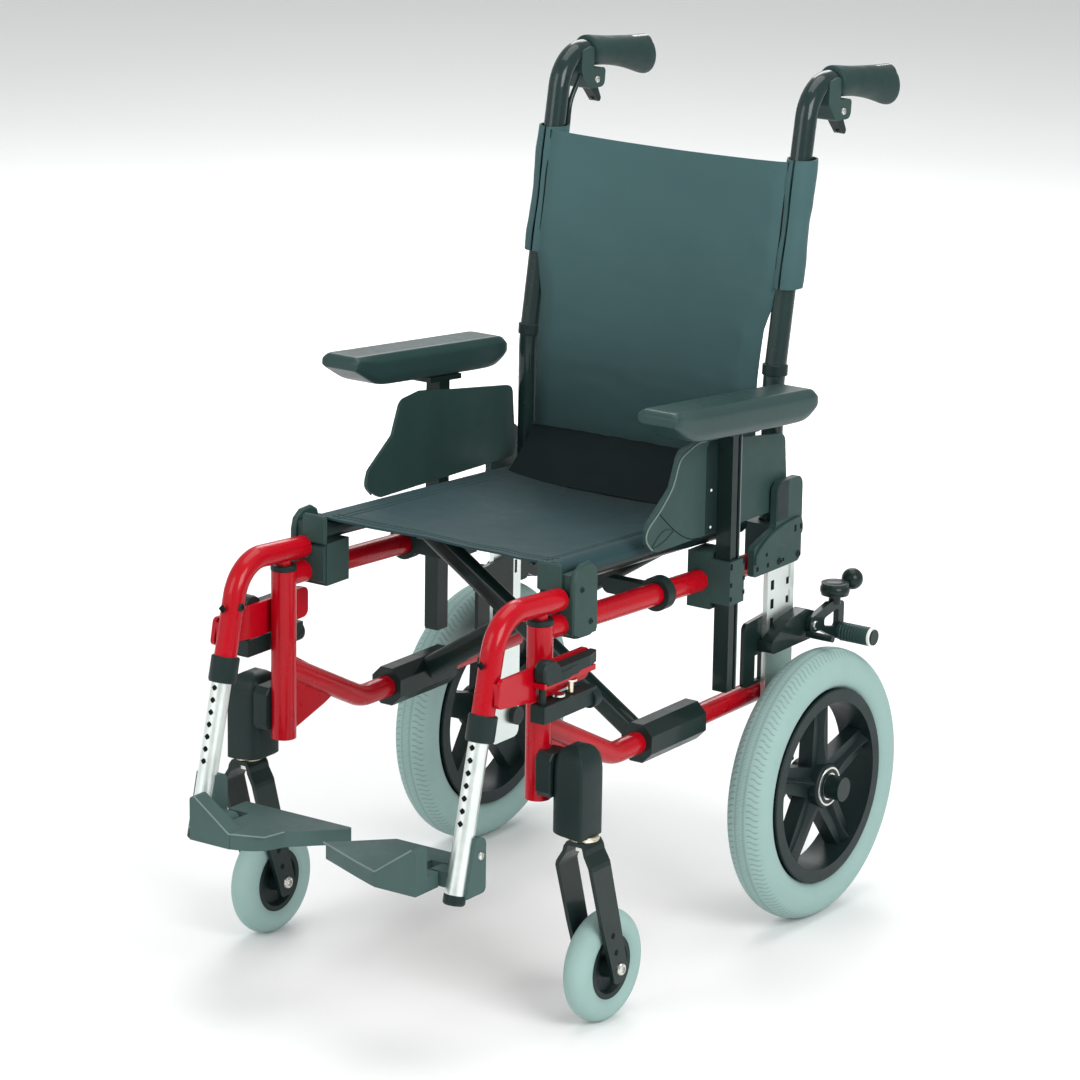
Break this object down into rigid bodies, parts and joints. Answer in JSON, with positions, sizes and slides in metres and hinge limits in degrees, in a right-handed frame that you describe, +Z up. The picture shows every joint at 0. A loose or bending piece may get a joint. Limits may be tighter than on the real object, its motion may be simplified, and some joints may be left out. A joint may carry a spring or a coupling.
{
  "type": "folding wheelchair",
  "caption": "Folding transit wheelchair with cross brace, swing-away hangers, footplates, sliding armrests, parking and hand brakes, swivelling castors and spoked rear wheels.",
  "frame": {"origin": "on the floor, in the middle of the chair's outline", "axes": "+X to the user's left, -Y is the way the chair faces, +Z up"},
  "size_m": [0.546, 0.887, 0.9642],
  "materials": {
    "red_paint": "gloss",
    "black_paint": "satin",
    "black_plastic": "matte",
    "aluminium": "brushed",
    "steel": "zinc plated",
    "grey_tyre": "matte",
    "nylon": "woven",
    "pad_foam": "self-skinned foam",
    "grip_rubber": "matte"
  },
  "bodies": {
    "left_frame": {"left_side_frame": "red_paint", "left_rear_upright": "aluminium", "left_rear_bracket": "black_plastic", "left_front_seat_block": "black_plastic", "left_rear_seat_block": "black_plastic", "left_back_cane": "black_paint", "left_push_grip": "grip_rubber", "left_brake_lever_mount": "black_plastic", "left_castor_housing": "black_plastic", "left_parking_brake_base": "black_paint", "left_rear_axle": "steel", "back_sling": "nylon"},
    "brace_a": {"cross_brace_a": "black_paint", "brace_pivot_bolt": "steel"},
    "brace_b": {"cross_brace_b": "black_paint"},
    "right_frame": {"right_side_frame": "red_paint", "right_rear_upright": "aluminium", "right_rear_bracket": "black_plastic", "right_front_seat_block": "black_plastic", "right_rear_seat_block": "black_plastic", "right_back_cane": "black_paint", "right_push_grip": "grip_rubber", "right_brake_lever_mount": "black_plastic", "right_castor_housing": "black_plastic", "right_parking_brake_base": "black_paint", "right_rear_axle": "steel"},
    "seat": {"seat_sling": "nylon"},
    "left_hanger": {"left_hanger_tube": "red_paint"},
    "left_latch": {"left_hanger_latch": "black_plastic"},
    "left_leg": {"left_extension_tube": "aluminium", "left_footplate_clamp": "black_plastic"},
    "left_footplate_swing": {"left_footplate": "black_plastic"},
    "left_armrest": {"left_arm_post": "black_paint", "left_side_guard": "black_plastic", "left_arm_pad": "pad_foam"},
    "left_castor": {"left_castor_fork": "black_paint"},
    "left_castor_roller": {"left_castor_wheel": "black_plastic", "left_castor_tyre": "grey_tyre"},
    "left_wheel": {"left_rear_wheel": "black_plastic", "left_rear_tyre": "grey_tyre"},
    "left_parking_brake": {"left_parking_lever": "black_paint"},
    "left_hand_brake": {"left_hand_brake_lever": "black_paint"},
    "left_link": {"left_spreader_link": "black_plastic"},
    "right_hanger": {"right_hanger_tube": "red_paint"},
    "right_latch": {"right_hanger_latch": "black_plastic"},
    "right_leg": {"right_extension_tube": "aluminium", "right_footplate_clamp": "black_plastic"},
    "right_footplate_swing": {"right_footplate": "black_plastic"},
    "right_armrest": {"right_arm_post": "black_paint", "right_side_guard": "black_plastic", "right_arm_pad": "pad_foam"},
    "right_castor": {"right_castor_fork": "black_paint"},
    "right_castor_roller": {"right_castor_wheel": "black_plastic", "right_castor_tyre": "grey_tyre"},
    "right_wheel": {"right_rear_wheel": "black_plastic", "right_rear_tyre": "grey_tyre"},
    "right_parking_brake": {"right_parking_lever": "black_paint"},
    "right_hand_brake": {"right_hand_brake_lever": "black_paint"},
    "right_link": {"right_spreader_link": "black_plastic"}
  },
  "joints": [
    {"name": "fold", "type": "hinge", "parent": "left_frame", "child": "brace_a", "pos_m": [0.1707, -0.0505, 0.265], "axis": [0, 1, 0], "range_deg": [0, 38], "deforming": ["back_sling", "seat_sling"]},
    {"name": "brace_pivot", "type": "hinge", "parent": "brace_a", "child": "brace_b", "pos_m": [0, -0.0005, 0.37506], "axis": [0, 1, 0], "range_deg": [-76, 0]},
    {"name": "right_frame_hinge", "type": "hinge", "parent": "brace_b", "child": "right_frame", "pos_m": [-0.1707, -0.0005, 0.265], "axis": [0, 1, 0], "range_deg": [0, 38]},
    {"name": "seat_hinge", "type": "hinge", "parent": "brace_a", "child": "seat", "pos_m": [-0.155, -0.0505, 0.475], "axis": [0, 1, 0], "range_deg": [-38, 0]},
    {"name": "left_hanger_swing", "type": "hinge", "parent": "left_frame", "child": "left_hanger", "pos_m": [0.1707, -0.2535, 0.445], "axis": [0, 0, 1], "range_deg": [0, 90]},
    {"name": "left_latch_release", "type": "hinge", "parent": "left_hanger", "child": "left_latch", "pos_m": [0.197, -0.2855, 0.41], "axis": [0, 0, -1], "range_deg": [0, 25]},
    {"name": "left_leg_length", "type": "slide", "parent": "left_hanger", "child": "left_leg", "axis": [0, 0.2425, 0.9701], "range_m": [0, 0.035]},
    {"name": "left_footplate_flip", "type": "hinge", "parent": "left_leg", "child": "left_footplate_swing", "pos_m": [0.14, -0.3905, 0.1995], "axis": [0, 1, 0], "range_deg": [0, 90]},
    {"name": "left_armrest_lift", "type": "slide", "parent": "left_frame", "child": "left_armrest", "axis": [0, 0, 1], "range_m": [0, 0.12]},
    {"name": "left_castor_swivel", "type": "hinge", "parent": "left_frame", "child": "left_castor", "pos_m": [0.226, -0.2465, 0.223], "axis": [0, 0, 1], "continuous": true},
    {"name": "left_castor_spin", "type": "hinge", "parent": "left_castor", "child": "left_castor_roller", "pos_m": [0.226, -0.2065, 0.0625], "axis": [1, 0, 0], "continuous": true},
    {"name": "left_wheel_spin", "type": "hinge", "parent": "left_frame", "child": "left_wheel", "pos_m": [0.231, 0.2115, 0.1575], "axis": [1, 0, 0], "continuous": true},
    {"name": "left_parking_brake_lever", "type": "hinge", "parent": "left_frame", "child": "left_parking_brake", "pos_m": [0.211, 0.2335, 0.337], "axis": [1, 0, 0], "range_deg": [0, 20]},
    {"name": "left_hand_brake_squeeze", "type": "hinge", "parent": "left_frame", "child": "left_hand_brake", "pos_m": [0.167, 0.3155, 0.913], "axis": [1, 0, 0], "range_deg": [0, 20], "stiffness_Nm_per_rad": 0.5},
    {"name": "left_link_swing", "type": "hinge", "parent": "left_frame", "child": "left_link", "pos_m": [0.1707, -0.028, 0.42711], "axis": [0, 1, 0], "range_deg": [-90, 0]},
    {"name": "right_hanger_swing", "type": "hinge", "parent": "right_frame", "child": "right_hanger", "pos_m": [-0.1707, -0.2535, 0.445], "axis": [0, 0, -1], "range_deg": [0, 90]},
    {"name": "right_latch_release", "type": "hinge", "parent": "right_hanger", "child": "right_latch", "pos_m": [-0.197, -0.2855, 0.41], "axis": [0, 0, 1], "range_deg": [0, 25]},
    {"name": "right_leg_length", "type": "slide", "parent": "right_hanger", "child": "right_leg", "axis": [0, 0.2425, 0.9701], "range_m": [0, 0.035]},
    {"name": "right_footplate_flip", "type": "hinge", "parent": "right_leg", "child": "right_footplate_swing", "pos_m": [-0.14, -0.3905, 0.1995], "axis": [0, 1, 0], "range_deg": [-90, 0]},
    {"name": "right_armrest_lift", "type": "slide", "parent": "right_frame", "child": "right_armrest", "axis": [0, 0, 1], "range_m": [0, 0.12]},
    {"name": "right_castor_swivel", "type": "hinge", "parent": "right_frame", "child": "right_castor", "pos_m": [-0.226, -0.2465, 0.223], "axis": [0, 0, 1], "continuous": true},
    {"name": "right_castor_spin", "type": "hinge", "parent": "right_castor", "child": "right_castor_roller", "pos_m": [-0.226, -0.2065, 0.0625], "axis": [1, 0, 0], "continuous": true},
    {"name": "right_wheel_spin", "type": "hinge", "parent": "right_frame", "child": "right_wheel", "pos_m": [-0.231, 0.2115, 0.1575], "axis": [1, 0, 0], "continuous": true},
    {"name": "right_parking_brake_lever", "type": "hinge", "parent": "right_frame", "child": "right_parking_brake", "pos_m": [-0.211, 0.2335, 0.337], "axis": [1, 0, 0], "range_deg": [0, 20]},
    {"name": "right_hand_brake_squeeze", "type": "hinge", "parent": "right_frame", "child": "right_hand_brake", "pos_m": [-0.167, 0.3155, 0.913], "axis": [1, 0, 0], "range_deg": [0, 20], "stiffness_Nm_per_rad": 0.5},
    {"name": "right_link_swing", "type": "hinge", "parent": "right_frame", "child": "right_link", "pos_m": [-0.1707, -0.028, 0.42711], "axis": [0, 1, 0], "range_deg": [0, 90]}
  ],
  "couplings": [
    {"joint": "brace_pivot", "follows": "fold", "ratio": -2},
    {"joint": "right_frame_hinge", "follows": "fold", "ratio": 1},
    {"joint": "seat_hinge", "follows": "fold", "ratio": -1},
    {"joint": "left_footplate_flip", "follows": "fold", "ratio": 2.368},
    {"joint": "left_link_swing", "follows": "fold", "ratio": -2.368},
    {"joint": "right_footplate_flip", "follows": "fold", "ratio": -2.368},
    {"joint": "right_link_swing", "follows": "fold", "ratio": 2.368}
  ]
}
